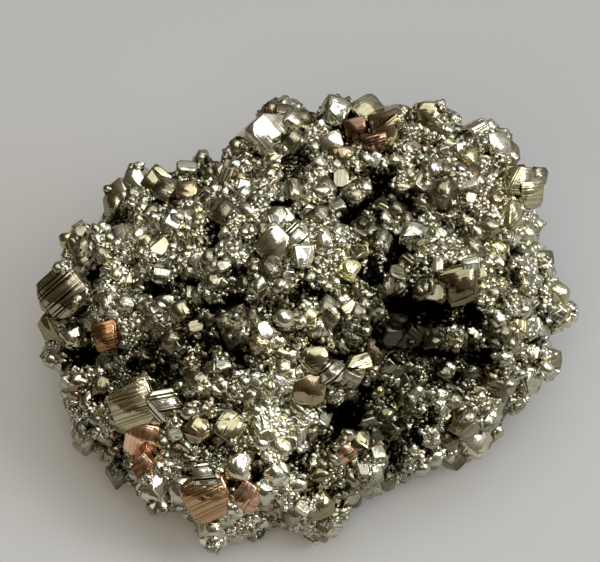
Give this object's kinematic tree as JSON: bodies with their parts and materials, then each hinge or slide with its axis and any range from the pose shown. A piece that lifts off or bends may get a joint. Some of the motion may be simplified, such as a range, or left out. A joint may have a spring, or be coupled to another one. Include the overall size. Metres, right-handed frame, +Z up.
{
  "type": "pyrite specimen",
  "caption": "Hand-size cluster of intergrown metallic crystals with flat faces, lumps and clefts, resting on a flat broken base.",
  "frame": {"origin": "on the flat broken base, near its middle", "axes": "+Z up from the base, +X along the longest side, -Y to the front"},
  "size_m": [0.0918, 0.0753, 0.0468],
  "materials": {
    "pyrite": "bright pale brass-grey crystal faces, some tarnished brown or copper red"
  },
  "bodies": {
    "root": {"pyrite_cluster": "pyrite"}
  },
  "joints": []
}
